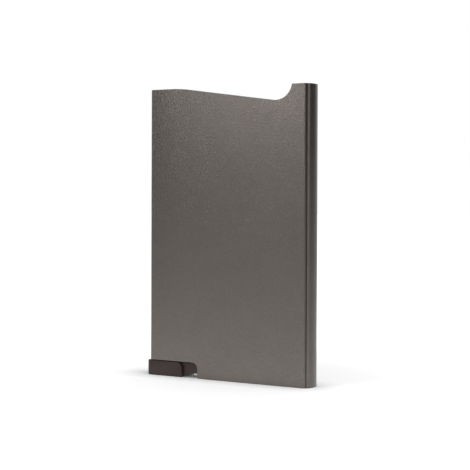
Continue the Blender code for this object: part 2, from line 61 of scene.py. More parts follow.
# %% Camera
sleeve_low, sleeve_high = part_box("sleeve")
middle_x = (sleeve_low.x + sleeve_high.x) / 2

CAMERA_AZIMUTH = math.radians(29.567)
CAMERA_TILT = math.radians(0.590)
CAMERA_ROLL = math.radians(0.223)
CAMERA_DISTANCE = 393.09 * MM
CAMERA_HEIGHT = 60.28 * MM
CAMERA_ASIDE = 1.050 * MM
CAMERA_LENS = 92.66
CAMERA_SHIFT = -0.0596
CAMERA_CLIP_START = 10 * MM


def make_camera():
    """The camera, turned round the sleeve's own middle and set a little to its right."""
    camera = bpy.data.objects.new("camera", bpy.data.cameras.new("camera"))
    turn = Euler((math.pi / 2 - CAMERA_TILT, 0, CAMERA_AZIMUTH)).to_matrix()
    round_holder = Matrix.Rotation(CAMERA_AZIMUTH, 3, "Z")
    place = round_holder @ Vector((CAMERA_ASIDE, -CAMERA_DISTANCE, CAMERA_HEIGHT))
    place.x += middle_x
    roll = Matrix.Rotation(CAMERA_ROLL, 3, "Z")
    camera.matrix_world = Matrix.Translation(place) @ (turn @ roll).to_4x4()
    camera.data.lens = CAMERA_LENS
    camera.data.shift_y = CAMERA_SHIFT
    camera.data.clip_start = CAMERA_CLIP_START
    bpy.context.scene.collection.objects.link(camera)
    bpy.context.scene.camera = camera
    return camera


camera = make_camera()
bpy.context.scene.view_settings.view_transform = "Standard"
print("camera at", [round(part / MM, 1) for part in camera.location])

# %% [markdown]
# Shader and geometry trees are both sums of small steps, so both are written here as Python expressions.
# A Signal is one output socket. Python's own operators add Math nodes to it, also where a number stands
# first, as in 1 - mask.


# %% Signals
class Signal:
    """One output socket, on which Python's operators add Math nodes."""

    def __init__(self, recipe, socket):
        self.recipe = recipe
        self.socket = socket

    def math(self, operation, *values):
        """A Math node that works on these values."""
        return self.recipe.add("ShaderNodeMath", {"operation": operation}, dict(enumerate(values)))

    def __add__(self, other):
        return self.math("ADD", self, other)

    def __sub__(self, other):
        return self.math("SUBTRACT", self, other)

    def __rsub__(self, other):
        return self.math("SUBTRACT", other, self)

    def __mul__(self, other):
        return self.math("MULTIPLY", self, other)

    def __rtruediv__(self, other):
        return self.math("DIVIDE", other, self)

    __radd__ = __add__
    __rmul__ = __mul__


# %% [markdown]
# A Recipe writes one node tree. Nearly every node comes from its method add, which takes the node's type,
# its settings and what its sockets get. The few mappings that recur have short names.


# %% Recipes
class Recipe:
    """A node tree that is written step by step."""

    def __init__(self, tree):
        self.tree = tree

    def add(self, kind, settings=None, sockets=None, output=0):
        """One node. Settings are set first, then its sockets' values or links."""
        node = self.tree.nodes.new(kind)
        for name, value in (settings or {}).items():
            setattr(node, name, value)
        for name, value in (sockets or {}).items():
            self.feed(node.inputs[name], value)
        return Signal(self, node.outputs[output])

    def fade(self, value, start, end):
        """A value from start to end, mapped smoothly to 0 to 1."""
        sockets = {"Value": value, "From Min": start, "From Max": end}
        return self.add("ShaderNodeMapRange", {"interpolation_type": "SMOOTHSTEP"}, sockets)

    def along(self, vector, axis):
        """How far a vector goes along an axis."""
        sockets = {0: vector, 1: axis}
        return self.add("ShaderNodeVectorMath", {"operation": "DOT_PRODUCT"}, sockets, output="Value")

    def feed(self, socket, value):
        """Links a Signal to a socket, or sets the socket's own value."""
        if isinstance(value, Signal):
            self.tree.links.new(value.socket, socket)
        else:
            socket.default_value = value


# %% [markdown]
# A Finish is the Recipe of a material. All patterns on this holder are noise on the object's own
# coordinates, which stay fixed to the piece when it moves, and all are mapped to a colour between two, to
# a roughness or to relief.


# %% Finishes
class Finish(Recipe):
    """A material with one Principled shader."""

    def __init__(self, name, constants):
        self.material = bpy.data.materials.new(name)
        self.material.use_nodes = True
        super().__init__(self.material.node_tree)
        self.shader = self.tree.nodes["Principled BSDF"]
        self.place = self.add("ShaderNodeTexCoord", output="Object")
        self.set(constants)

    def set(self, values):
        """Feeds the shader's sockets."""
        for name, value in values.items():
            self.feed(self.shader.inputs[name], value)

    def noise(self, size, detail=2.0, place=None):
        """Noise from 0 to 1 whose features are about this size, in metres."""
        sockets = {"Vector": place or self.place, "Scale": 1 / size, "Detail": detail}
        return self.add("ShaderNodeTexNoise", sockets=sockets)

    def stretched(self, stretch):
        """The object's coordinates, squeezed so that a pattern runs longer along some axis."""
        return self.add("ShaderNodeMapping", sockets={"Vector": self.place, "Scale": stretch})

    def between(self, mask, low, high):
        """The mask's 0 to 1 mapped to low to high, and held there."""
        sockets = {"Value": mask, "To Min": low, "To Max": high}
        return self.add("ShaderNodeMapRange", {"clamp": True}, sockets)

    def shade(self, mask, dark, light):
        """A colour between two, by a mask from 0 to 1."""
        # The Mix node's colours are its inputs 6 and 7 and its output 2
        sockets = {"Factor": mask, 6: (*dark, 1), 7: (*light, 1)}
        return self.add("ShaderNodeMix", {"data_type": "RGBA"}, sockets, output=2)

    def relief(self, height, distance, strength):
        """A bump whose full height is this distance, in metres."""
        sockets = {"Height": height, "Distance": distance, "Strength": strength}
        return self.add("ShaderNodeBump", sockets=sockets)


# %% [markdown]
# The tube is aluminium that was blasted with glass beads and then anodised gunmetal. Blasting leaves
# shallow dimples of about 0.3 millimetres, which the camera just sees as a fine grain, and a faint
# mottle. A picture of metal would carry its own light, so the grain is computed instead: the dimples are
# relief, which shows most where a lamp is mirrored, and the mottle is a little colour and sheen.

# %% Anodised aluminium
ALUMINIUM_DARK = (0.129, 0.1155, 0.106)
ALUMINIUM_LIGHT = (0.158, 0.1425, 0.131)
DIMPLE_SIZE = 0.28 * MM
MOTTLE_SIZE = 0.42 * MM
MOTTLE_SHARE = 0.75
MOTTLE_RANGE = (0.3, 0.7)
CLOUD_SIZE = 9 * MM
ANODISED_METALLIC = 0.92
ANODISED_SHEEN = 0.03
DIMPLE_DEPTH = DIMPLE_SIZE / 4


def anodised(name, roughness, relief_strength, lift=1.0):
    """Bead-blasted and anodised aluminium. Lift makes it lighter."""
    finish = Finish(name, {"Metallic": ANODISED_METALLIC})
    mottle = finish.noise(MOTTLE_SIZE, detail=3.0)
    cloud = finish.noise(CLOUD_SIZE)
    mixed = mottle * MOTTLE_SHARE + cloud * (1 - MOTTLE_SHARE)
    low, high = MOTTLE_RANGE
    sockets = {"Value": mixed, "From Min": low, "From Max": high}
    mask = finish.add("ShaderNodeMapRange", {"clamp": True}, sockets)
    dark = [part * lift for part in ALUMINIUM_DARK]
    light = [part * lift for part in ALUMINIUM_LIGHT]
    dimples = finish.noise(DIMPLE_SIZE, detail=1.0)
    finish.set({
        "Base Color": finish.shade(mask, dark, light),
        "Roughness": finish.between(mask, roughness + ANODISED_SHEEN, roughness - ANODISED_SHEEN),
        "Normal": finish.relief(dimples, DIMPLE_DEPTH, relief_strength),
    })
    return finish.material


aluminium = anodised("anodised_aluminium", roughness=0.3, relief_strength=0.85)
aluminium_rim = anodised("anodised_aluminium_rim", roughness=0.28, relief_strength=0.1, lift=1.08)
print("grain in millimetres:", round(DIMPLE_SIZE / MM, 2), "and", round(MOTTLE_SIZE / MM, 2))

# %% [markdown]
# The lever and the arm are moulded in dark acetal. A spark-eroded mould prints a fine, dull texture on
# them. The carrier's halves come from the same granulate, but their mould was left plainer, so they are a
# little shinier and show faint flow lines along their length.

# %% Moulded plastics
LEVER_DARK = (0.026, 0.0125, 0.0108)
LEVER_LIGHT = (0.037, 0.0192, 0.017)
CARRIER_DARK = (0.030, 0.027, 0.026)
CARRIER_LIGHT = (0.044, 0.039, 0.037)
SPARK_SIZE = 0.12 * MM
SPARK_SHARE = 0.4
SPARK_DEPTH = SPARK_SIZE / 4
FLOW_SIZE = 0.8 * MM
FLOW_STRETCH = (0.12, 1.0, 1.0)
FLOW_SHEEN = 0.06
ACETAL_SPECULAR = 0.45


def acetal(name, dark, light, roughness, relief_strength):
    """Moulded acetal with a spark-eroded texture."""
    finish = Finish(name, {"Specular IOR Level": ACETAL_SPECULAR})
    sparks = finish.noise(SPARK_SIZE, detail=2.0)
    flow = finish.noise(FLOW_SIZE, place=finish.stretched(FLOW_STRETCH))
    finish.set({
        "Base Color": finish.shade(sparks * SPARK_SHARE + flow * (1 - SPARK_SHARE), dark, light),
        "Roughness": finish.between(flow, roughness - FLOW_SHEEN, roughness + FLOW_SHEEN),
        "Normal": finish.relief(sparks, SPARK_DEPTH, relief_strength),
    })
    return finish.material


LEVER_MOULD = {"roughness": 0.52, "relief_strength": 0.35}
CARRIER_MOULD = {"roughness": 0.42, "relief_strength": 0.12}
lever_plastic = acetal("lever_acetal", LEVER_DARK, LEVER_LIGHT, **LEVER_MOULD)
carrier_plastic = acetal("carrier_acetal", CARRIER_DARK, CARRIER_LIGHT, **CARRIER_MOULD)
print("plastics:", lever_plastic.name, "and", carrier_plastic.name)

# %% [markdown]
# The pin that the arm turns on is ground steel, with rings left by the wheel. The strips that grip the
# cards carry a short black pile, which scatters light at its tips, so its shader has a little sheen.

# %% Steel and pile
STEEL_DARK = (0.42, 0.42, 0.43)
STEEL_LIGHT = (0.60, 0.60, 0.61)
STEEL_ROUGHNESS = (0.2, 0.34)
RING_SIZE = 0.05 * MM
RING_STRETCH = (0.05, 1.0, 0.05)
RING_DEPTH = RING_SIZE / 10
RING_RELIEF = 0.2
PILE_DARK = (0.008, 0.008, 0.009)
PILE_LIGHT = (0.026, 0.025, 0.026)
PILE_ROUGHNESS = (0.8, 1.0)
PILE_SHEEN = {"Sheen Weight": 0.25, "Sheen Roughness": 0.4}
TUFT_SIZE = 0.4 * MM


def ground_steel():
    """Steel with fine grinding rings round its axis, which runs along Y."""
    finish = Finish("pin_steel", {"Metallic": 1.0})
    rings = finish.noise(RING_SIZE, place=finish.stretched(RING_STRETCH))
    finish.set({
        "Base Color": finish.shade(rings, STEEL_DARK, STEEL_LIGHT),
        "Roughness": finish.between(rings, *STEEL_ROUGHNESS),
        "Normal": finish.relief(rings, RING_DEPTH, RING_RELIEF),
    })
    return finish.material


def black_pile():
    """Short pile, lighter in some tufts than in others."""
    finish = Finish("strip_pile", PILE_SHEEN)
    tufts = finish.noise(TUFT_SIZE)
    finish.set({
        "Base Color": finish.shade(tufts, PILE_DARK, PILE_LIGHT),
        "Roughness": finish.between(tufts, *PILE_ROUGHNESS),
    })
    return finish.material


steel = ground_steel()
pile = black_pile()
print("steel rings in millimetres:", round(RING_SIZE / MM, 2), "and pile tufts:", round(TUFT_SIZE / MM, 2))

# %% [markdown]
# Two Geometry Nodes trees follow, and both begin and end alike. Named inputs let one tree make pieces of
# different sizes. At the end the instances are made real, because an exported mesh can't hold them, and the
# finish is set.


# %% How a geometry tree begins and ends
def begin_tree(name, inputs, result):
    """A tree with named inputs and one geometry out: its recipe, and its inputs as Signals."""
    tree = bpy.data.node_groups.new(name, "GeometryNodeTree")
    for label, kind in inputs.items():
        tree.interface.new_socket(label, in_out="INPUT", socket_type="NodeSocket" + kind)
    tree.interface.new_socket(result, in_out="OUTPUT", socket_type="NodeSocketGeometry")
    recipe = Recipe(tree)
    given = tree.nodes.new("NodeGroupInput")
    return recipe, [Signal(recipe, socket) for socket in given.outputs[:len(inputs)]]


def join(recipe, parts):
    """The parts in one geometry."""
    joined = recipe.add("GeometryNodeJoinGeometry")
    for part in parts:
        recipe.feed(joined.socket.node.inputs[0], part)
    return joined


def end_tree(recipe, shape, finish):
    """Makes instances real, sets the finish and hands the shape out. Returns the tree."""
    real = recipe.add("GeometryNodeRealizeInstances", sockets={"Geometry": shape})
    dressed = recipe.add("GeometryNodeSetMaterial", sockets={"Geometry": real, "Material": finish})
    result = recipe.tree.nodes.new("NodeGroupOutput")
    recipe.feed(result.inputs[0], dressed)
    return recipe.tree


# %% [markdown]
# An extrusion follows the simplest rule there is: one section, pushed along a line. Geometry Nodes do it in
# four steps. The section's outlines are filled, the fill is extruded, a flipped copy closes the foot, and
# the seams are welded. The same tree makes the tube, the cutters that shape its ends and the strips' tapes.


# %% A Geometry Nodes tree that extrudes a section
WELD_DISTANCE = 0.0005 * MM


def extrusion_tree():
    """Outlines in, a closed prism out. Its inputs are the height and the material."""
    inputs = {"Outlines": "Geometry", "Height": "Float", "Finish": "Material"}
    recipe, (outlines, height, finish) = begin_tree("extrusion", inputs, "Prism")
    lines = recipe.add("GeometryNodeMeshToCurve", sockets={"Mesh": outlines})
    fill = recipe.add("GeometryNodeFillCurve", {"mode": "NGONS"}, {"Curve": lines})
    foot = recipe.add("GeometryNodeFlipFaces", sockets={"Mesh": fill})
    up = recipe.add("ShaderNodeCombineXYZ", sockets={"Z": height})
    body = recipe.add("GeometryNodeExtrudeMesh", sockets={"Mesh": fill, "Offset": up, "Individual": False})
    sockets = {"Geometry": join(recipe, (body, foot)), "Distance": WELD_DISTANCE}
    return end_tree(recipe, recipe.add("GeometryNodeMergeByDistance", sockets=sockets), finish)


extrusion = extrusion_tree()
print("extrusion tree:", len(extrusion.nodes), "nodes")

# %% [markdown]
# A tree does its work as a modifier on some guide object, here a mesh of bare outlines. The evaluated
# result is then kept as a plain mesh, so that nothing live is left on a finished piece.


# %% From outlines to a plain prism
def set_inputs(modifier, **values):
    """Sets a modifier's inputs by their sockets' identifiers."""
    for item in modifier.node_group.interface.items_tree:
        if item.in_out == "INPUT" and item.name.replace(" ", "_") in values:
            modifier[item.identifier] = values[item.name.replace(" ", "_")]


def made_plain(source, name):
    """The evaluated object as a plain mesh object. The source is removed."""
    bpy.context.view_layer.update()
    mesh = bpy.data.meshes.new_from_object(source.evaluated_get(bpy.context.evaluated_depsgraph_get()))
    mesh.name = name
    bpy.data.objects.remove(source)
    plain = bpy.data.objects.new(name, mesh)
    bpy.context.scene.collection.objects.link(plain)
    return plain


# Stands a drawing up: across stays X, up becomes Z, and what was the height runs along -Y
UPRIGHT = Matrix(((1, 0, 0, 0), (0, 0, -1, 0), (0, 1, 0, 0), (0, 0, 0, 1)))


def prism(name, outlines, low, high, material, turn=Matrix.Identity(4)):
    """Outlines of (across, up) points, extruded from low to high along their own axis and then turned.

    Fill Curve drops its outlines to Z = 0, so the prism is raised to low afterwards.
    """
    points = [(x, y, 0) for outline in outlines for x, y in outline]
    edges = []
    for outline in outlines:
        first = len(edges)
        edges += [(first + step, first + (step + 1) % len(outline)) for step in range(len(outline))]
    mesh = bpy.data.meshes.new(name)
    mesh.from_pydata(points, edges, [])
    guide = bpy.data.objects.new(name + "_guide", mesh)
    bpy.context.scene.collection.objects.link(guide)
    modifier = guide.modifiers.new("extrusion", "NODES")
    modifier.node_group = extrusion
    set_inputs(modifier, Height=high - low, Finish=material)
    made = made_plain(guide, name)
    made.data.transform(turn @ Matrix.Translation((0, 0, low)))
    shape = bmesh.new()
    shape.from_mesh(made.data)
    bmesh.ops.recalc_face_normals(shape, faces=shape.faces)
    shape.to_mesh(made.data)
    shape.free()
    return made


# %% [markdown]
# The section of the tube is a flat pad in front and behind. At its edge the pad steps down into a fine
# groove, and past the groove the side bulges slightly between two corners. Each arc is drawn by one
# function, and the rear half repeats the front.

# %% The tube's section
sleeve_size = sleeve_high - sleeve_low
SIDE_X = sleeve_size.x / 2
HALF_DEPTH = sleeve_size.y / 2
WALL = 1.0 * MM
PAD_STEP = 0.5 * MM
PAD_INSET = 1.6 * MM
PAD_EDGE_ROUND = 0.3 * MM
STEP_FOOT = math.radians(60)
GROOVE_DEPTH = 0.05 * MM
GROOVE_RUN = 0.25 * MM
SIDE_HALF_DEPTH = HALF_DEPTH - PAD_STEP
SIDE_BULGE_RADIUS = 8 * MM
SIDE_CORNER_RADIUS = 1.8 * MM
POCKET_SIDE_RADIUS = SIDE_HALF_DEPTH - WALL
POCKET_SIDE_X = SIDE_X - WALL - POCKET_SIDE_RADIUS
SECTION_SEGMENTS = 40
CORNER_SEGMENTS = 8


def arc(centre, radius, start, end, segments):
    """Points on an arc, both ends included."""
    angles = [start + (end - start) * step / segments for step in range(segments + 1)]
    return [(centre[0] + radius * math.cos(a), centre[1] + radius * math.sin(a)) for a in angles]


def rounded(before, corner, after, radius):
    """The arc that rounds the corner between the points before and after it."""
    back = (Vector(before) - Vector(corner)).normalized()
    on = (Vector(after) - Vector(corner)).normalized()
    half_angle = back.angle(on) / 2
    centre = Vector(corner) + (back + on).normalized() * radius / math.sin(half_angle)
    start = Vector(corner) + back * radius / math.tan(half_angle) - centre
    end = Vector(corner) + on * radius / math.tan(half_angle) - centre
    first = math.atan2(start.y, start.x)
    turn = math.remainder(math.atan2(end.y, end.x) - first, math.tau)
    return arc(centre, radius, first, first + turn, CORNER_SEGMENTS)


def placed(points):
    """Points about the sleeve's own middle, moved to where the sleeve stands."""
    return [(x + middle_x, y) for x, y in points]


def both_sides(right):
    """The right half of a section and the same half turned round to the left."""
    return right + [(-x, -y) for x, y in right]


def side_outline():
    """The tube's right side: a shallow bulge between two tighter corners."""
    bulge_x = SIDE_X - SIDE_BULGE_RADIUS
    corner_y = SIDE_HALF_DEPTH - SIDE_CORNER_RADIUS
    turn = math.asin(corner_y / (SIDE_BULGE_RADIUS - SIDE_CORNER_RADIUS))
    corner_x = bulge_x + (SIDE_BULGE_RADIUS - SIDE_CORNER_RADIUS) * math.cos(turn)
    front = arc((corner_x, -corner_y), SIDE_CORNER_RADIUS, -STEP_FOOT, -turn, CORNER_SEGMENTS)
    bulge = arc((bulge_x, 0), SIDE_BULGE_RADIUS, -turn, turn, SECTION_SEGMENTS)
    rear = [(x, -y) for x, y in reversed(front)]
    return front + bulge[1:-1] + rear


def tube_section():
    """The tube's outside."""
    side = side_outline()
    pad_edge = (SIDE_X - PAD_INSET, -HALF_DEPTH)
    groove = (pad_edge[0] + GROOVE_RUN, side[0][1] + GROOVE_DEPTH)
    front = rounded((0, -HALF_DEPTH), pad_edge, groove, PAD_EDGE_ROUND)
    front.append(groove)
    rear = [(x, -y) for x, y in reversed(front)]
    return both_sides(front + side + rear)


def pocket_section():
    """The pocket for the cards: flat in the middle, with rounded sides one step lower."""
    shoulder = (POCKET_SIDE_X, HALF_DEPTH - WALL)
    side = arc((POCKET_SIDE_X, 0), POCKET_SIDE_RADIUS, -math.pi / 2, math.pi / 2, SECTION_SEGMENTS)
    return both_sides([(shoulder[0], -shoulder[1])] + side + [shoulder])


print("outline points outside and inside:", len(tube_section()), "and", len(pocket_section()))

# %% [markdown]
# Two cutters shape the ends. The mouth is a flat crest at the left, a straight slope and a round notch for
# the thumb, each tangent to the next. The lower left corner is cut away for the lever, with one round
# corner inside and a softly rounded edge above the lever.

# %% Cutters for the mouth and the corner
MOUTH_SLOPE = math.radians(8)
CREST_RADIUS = 50 * MM
NOTCH_RADIUS = 5.8 * MM
NOTCH_DEPTH = 4.9 * MM
NOTCH_FROM_SIDE = 12 * MM
CUT_HEIGHT = 5.2 * MM
CUT_LENGTH = 19.5 * MM
CUT_CORNER_RADIUS = 2 * MM
CUT_EDGE_ROUND = 0.8 * MM
CUT_FOOT_ROUND = 1 * MM
OVERRUN = 2 * MM
CUT_RIGHT_X = CUT_LENGTH - SIDE_X
ARC_SEGMENTS = 24


def mouth_outline():
    """What the wave takes off the top."""
    top = sleeve_size.z
    notch = (SIDE_X - NOTCH_FROM_SIDE, top - NOTCH_DEPTH + NOTCH_RADIUS)
    ear = -math.asin((NOTCH_RADIUS - NOTCH_DEPTH) / NOTCH_RADIUS)
    notch_arc = arc(notch, NOTCH_RADIUS, -math.pi / 2 - MOUTH_SLOPE, ear, 2 * ARC_SEGMENTS)
    slope_drop = top - CREST_RADIUS * (1 - math.cos(MOUTH_SLOPE)) - notch_arc[0][1]
    crest_end_x = notch_arc[0][0] - slope_drop / math.tan(MOUTH_SLOPE)
    crest = (crest_end_x - CREST_RADIUS * math.sin(MOUTH_SLOPE), top - CREST_RADIUS)
    crest_arc = arc(crest, CREST_RADIUS, math.pi / 2, math.pi / 2 - MOUTH_SLOPE, ARC_SEGMENTS)
    above = top + OVERRUN
    return crest_arc + notch_arc + [(notch_arc[-1][0], above), (crest_arc[0][0], above)]


def corner_outline():
    """What the lever's cut-out takes off the lower left corner, with the sleeve's foot eased."""
    foot = (CUT_RIGHT_X + CUT_FOOT_ROUND, CUT_FOOT_ROUND)
    inner = (CUT_RIGHT_X - CUT_CORNER_RADIUS, CUT_HEIGHT - CUT_CORNER_RADIUS)
    edge = (CUT_EDGE_ROUND - SIDE_X, CUT_HEIGHT + CUT_EDGE_ROUND)
    outside = -SIDE_X - OVERRUN
    return (
        [(outside, -OVERRUN), (foot[0], -OVERRUN)]
        + arc(foot, CUT_FOOT_ROUND, -math.pi / 2, -math.pi, CORNER_SEGMENTS)
        + arc(inner, CUT_CORNER_RADIUS, 0, math.pi / 2, CORNER_SEGMENTS)
        + arc(edge, CUT_EDGE_ROUND, -math.pi / 2, -math.pi, CORNER_SEGMENTS)
        + [(outside, edge[1])]
    )


def cut_by(target, cutters):
    """Cuts the cutters from the target and leaves one plain mesh."""
    for cutter in cutters:
        modifier = target.modifiers.new(cutter.name, "BOOLEAN")
        modifier.operation = "DIFFERENCE"
        modifier.object = cutter
    name = target.name
    target.name = name + "_uncut"
    made = made_plain(target, name)
    for cutter in cutters:
        bpy.data.objects.remove(cutter)
    return made


print("mouth outline:", len(mouth_outline()), "points, corner outline:", len(corner_outline()), "points")

# %% [markdown]
# No real edge is sharp. Tumbling and blasting round the rims of the tube to about a quarter of a
# millimetre, which is less than a pixel wide, yet it gives the rim its thin bright and dark lines. The
# Bevel modifier rounds every edge that turns more sharply than the facets of an arc do, and its hardened
# normals keep the flats flat.

# %% Softened edges
SHARP_TURN = math.radians(32)
FLAT_TURN = math.radians(0.2)
SLEEVE_EDGE = 0.24 * MM
SLEEVE_EDGE_SEGMENTS = 3
RIM_SLOT = 1


def soften(piece, width, segments, rim_slot=-1):
    """Rounds the piece's edges and keeps its flats flat."""
    piece.data.shade_smooth()
    bevel = piece.modifiers.new("soft_edges", "BEVEL")
    bevel.width = width
    bevel.segments = segments
    bevel.limit_method = "ANGLE"
    bevel.angle_limit = SHARP_TURN
    bevel.harden_normals = True
    bevel.material = rim_slot
    bevel.miter_outer = "MITER_ARC"
    name = piece.name
    piece.name = name + "_sharp"
    return made_plain(piece, name)


def dissolve_flats(piece):
    """Merges the triangles of each flat into one face."""
    shape = bmesh.new()
    shape.from_mesh(piece.data)
    bmesh.ops.remove_doubles(shape, verts=shape.verts, dist=WELD_DISTANCE)
    bmesh.ops.dissolve_limit(shape, angle_limit=FLAT_TURN, verts=shape.verts, edges=shape.edges)
    shape.to_mesh(piece.data)
    shape.free()


# %% [markdown]
# The tube is now made in the order of the workshop: extruded, cut at its mouth and its corner, and then
# softened. The narrow rims get the lighter of the two anodised finishes.


# %% The tube
def build_sleeve_shell():
    """The tube with its wave, its corner cut-out and its softened rims."""
    sections = [placed(tube_section()), placed(pocket_section())]
    shell = prism("sleeve_shell", sections, 0, sleeve_size.z, aluminium)
    reach = HALF_DEPTH + OVERRUN
    cutters = [
        prism("mouth_cutter", [placed(mouth_outline())], -reach, reach, aluminium, UPRIGHT),
        prism("corner_cutter", [placed(corner_outline())], -reach, reach, aluminium, UPRIGHT),
    ]
    shell = cut_by(shell, cutters)
    dissolve_flats(shell)
    shell.data.materials.clear()
    shell.data.materials.append(aluminium)
    shell.data.materials.append(aluminium_rim)
    shell = soften(shell, SLEEVE_EDGE, SLEEVE_EDGE_SEGMENTS, rim_slot=RIM_SLOT)
    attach(shell, "holder")
    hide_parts("sleeve")
    return shell


shell = build_sleeve_shell()
print("tube:", len(shell.data.polygons), "faces")

# %% [markdown]
# The moulded pieces already have their right shape in the frame, but with sharp edges. A copy of each is
# merged into whole faces and softened. A mould leaves edges about a tenth of a millimetre round. Those of
# the lever, which a finger wears, are twice that.

# %% Moulded pieces
LEVER_EDGE = 0.2 * MM
ARM_EDGE = 0.1 * MM
CARRIER_EDGE = 0.08 * MM
MOULDED_EDGE_SEGMENTS = 2

# Node, name of the piece, edge, finish, body and slot
MOULDED = [
    ("slide_lever", "moulded_lever", LEVER_EDGE, lever_plastic, "lever", "lever_plastic"),
    ("ejector_arm", "moulded_arm", ARM_EDGE, lever_plastic, "arm", "lever_plastic"),
    ("front_carrier", "moulded_front_half", CARRIER_EDGE, carrier_plastic, "holder", "carrier_plastic"),
    ("rear_carrier", "moulded_rear_half", CARRIER_EDGE, carrier_plastic, "holder", "carrier_plastic"),
]


def moulded_copy(node, name, edge, material, body, slot):
    """A softened copy of a node, which it replaces."""
    copy = bpy.data.objects.new(name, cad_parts[node].data.copy())
    bpy.context.scene.collection.objects.link(copy)
    dissolve_flats(copy)
    copy.data.materials.clear()
    copy.data.materials.append(material)
    piece = soften(copy, edge, MOULDED_EDGE_SEGMENTS)
    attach(piece, body)
    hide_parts(node)
    print(name, len(piece.data.polygons), "faces")
    return piece


for row in MOULDED:
    moulded_copy(*row)

# %% [markdown]
# The pin is a plain round one, turned and ground, and the frame has its exact shape with both chamfers. So
# it stays as it is and only takes the steel.

# %% Pivot pin
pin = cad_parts["pivot_pin"]
pin.data.materials.clear()
pin.data.materials.append(steel)
print("pin in millimetres:", [round(side / MM, 2) for side in pin.dimensions])

# %% [markdown]
# A card strip is pile on a thin woven tape, glued to the rounded side of the pocket. On the real product it
# is cut from a roll. Geometry Nodes grow the pile: points are scattered over the tape, each gets a tapered
# tuft, and the longest tufts end at one plane, as pile is sheared flat where it grips the cards.

# %% Pile
TAPE_THICKNESS = 0.3 * MM
TUFT_ROOT = 0.09 * MM
TUFT_SIDES = 4
TUFT_SPACING = 0.3 * MM
TIP_SHARE = 0.4
SHEAR_SHARE = 0.85
DENSITY_SHARE = 3
FACING_LIMIT = 0.1
PILE_SEED = 7


def pile_tree():
    """A tape in, the tape with its pile out. Tufts grow from its inner side towards the plane X = Reach."""
    inputs = {"Tape": "Geometry", "Reach": "Float", "Spacing": "Float", "Root": "Float", "Sink": "Float"}
    inputs |= {"Seed": "Int", "Finish": "Material"}
    recipe, (tape, reach, spacing, root, sink, seed, finish) = begin_tree("pile", inputs, "Strip")
    place = recipe.add("GeometryNodeInputPosition")
    way = reach - recipe.add("ShaderNodeSeparateXYZ", sockets={"Vector": place})
    inward = way.math("SIGN", way)
    length = inward * way
    normal = recipe.add("GeometryNodeInputNormal")
    facing = recipe.add("ShaderNodeSeparateXYZ", sockets={"Vector": normal}) * inward
    inside = facing.math("GREATER_THAN", facing, FACING_LIMIT) * length.math("GREATER_THAN", length, root)
    points = recipe.add("GeometryNodeDistributePointsOnFaces", {"distribute_method": "POISSON"}, {
        "Mesh": tape,
        "Selection": inside,
        "Distance Min": spacing,
        "Density Max": DENSITY_SHARE / (spacing * spacing),
        "Seed": seed,
    })
    back = recipe.add("ShaderNodeCombineXYZ", sockets={"X": inward * sink * -1})
    sunk = recipe.add("GeometryNodeSetPosition", sockets={"Geometry": points, "Offset": back})
    # Random Value's plain numbers are its inputs 2 and 3 and its output 1
    shears = {2: SHEAR_SHARE, 3: 1.0, "Seed": seed}
    shear = recipe.add("FunctionNodeRandomValue", sockets=shears, output=1)
    line = recipe.add("ShaderNodeCombineXYZ", sockets={"X": inward})
    turn = recipe.add("FunctionNodeAlignRotationToVector", {"axis": "Z"}, {"Vector": line})
    size = recipe.add("ShaderNodeCombineXYZ", sockets={"X": 1, "Y": 1, "Z": length * shear})
    tuft = recipe.add("GeometryNodeMeshCone", sockets={
        "Vertices": TUFT_SIDES,
        "Radius Top": root * TIP_SHARE,
        "Radius Bottom": root,
        "Depth": 1,
    })
    grown = recipe.add("GeometryNodeInstanceOnPoints", sockets={
        "Points": sunk,
        "Instance": tuft,
        "Rotation": turn,
        "Scale": size,
    })
    return end_tree(recipe, join(recipe, (grown, tape)), finish)


pile_growth = pile_tree()
print("pile tree:", len(pile_growth.nodes), "nodes")

# %% [markdown]
# Each strip's tape is a curved prism, drawn like the sleeve's own section. The pile then grows on it as far
# as the plane where the card's edge slides.


# %% Card strips
def card_strip(node, name, side):
    """Tape and pile in the place of the node. Side is 1 for the right strip and -1 for the left one."""
    low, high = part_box(node)
    across = high.x - low.x
    radius = max(abs(low.x - middle_x), abs(high.x - middle_x)) - POCKET_SIDE_X
    inner = radius - TAPE_THICKNESS
    turn = math.acos((radius - across) / inner)
    outline = arc((POCKET_SIDE_X, 0), radius, -turn, turn, SECTION_SEGMENTS)
    outline += arc((POCKET_SIDE_X, 0), inner, turn, -turn, SECTION_SEGMENTS)
    outline = [(side * x + middle_x, y) for x, y in outline]
    tape = prism(name + "_tape", [outline], low.z + TUFT_ROOT, high.z - TUFT_ROOT, pile)
    grow = tape.modifiers.new("pile", "NODES")
    grow.node_group = pile_growth
    reach = middle_x + side * (POCKET_SIDE_X + radius - across)
    sizes = {"Reach": reach, "Spacing": TUFT_SPACING, "Root": TUFT_ROOT, "Sink": TAPE_THICKNESS / 2}
    set_inputs(grow, **sizes, Seed=PILE_SEED, Finish=pile)
    piece = made_plain(tape, name)
    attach(piece, "holder")
    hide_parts(node)
    print(name, len(piece.data.polygons), "faces")
    return piece


card_strip("left_card_strip", "left_pile_strip", -1)
card_strip("right_card_strip", "right_pile_strip", 1)

# %% [markdown]
# The stage is a small studio. A white backdrop stands behind the holder and the room in front of it is
# dimmer, which is what gives dark metal its shape: the face mirrors the room and the table in front of it,
# the rims mirror the backdrop and the round side mirrors a dark flag at the right. The lamps light the
# table to a little under white. A glow that only the camera sees lifts it to white, weakly near the holder,
# so that a short soft shadow stays where the holder stands.

# %% Table
FLOOR_SIZE = 6.0
FLOOR_COLOUR = (0.88, 0.88, 0.88, 1)
# Both glows have a strength near the holder and another beyond its shadow
FLOOR_WHITE = (0.045, 0.6)
FLOOR_MIRRORED = (0.54, 0.2)
FRONT_EDGE = 20 * MM
SHADOW_EDGE = (40 * MM, 130 * MM)


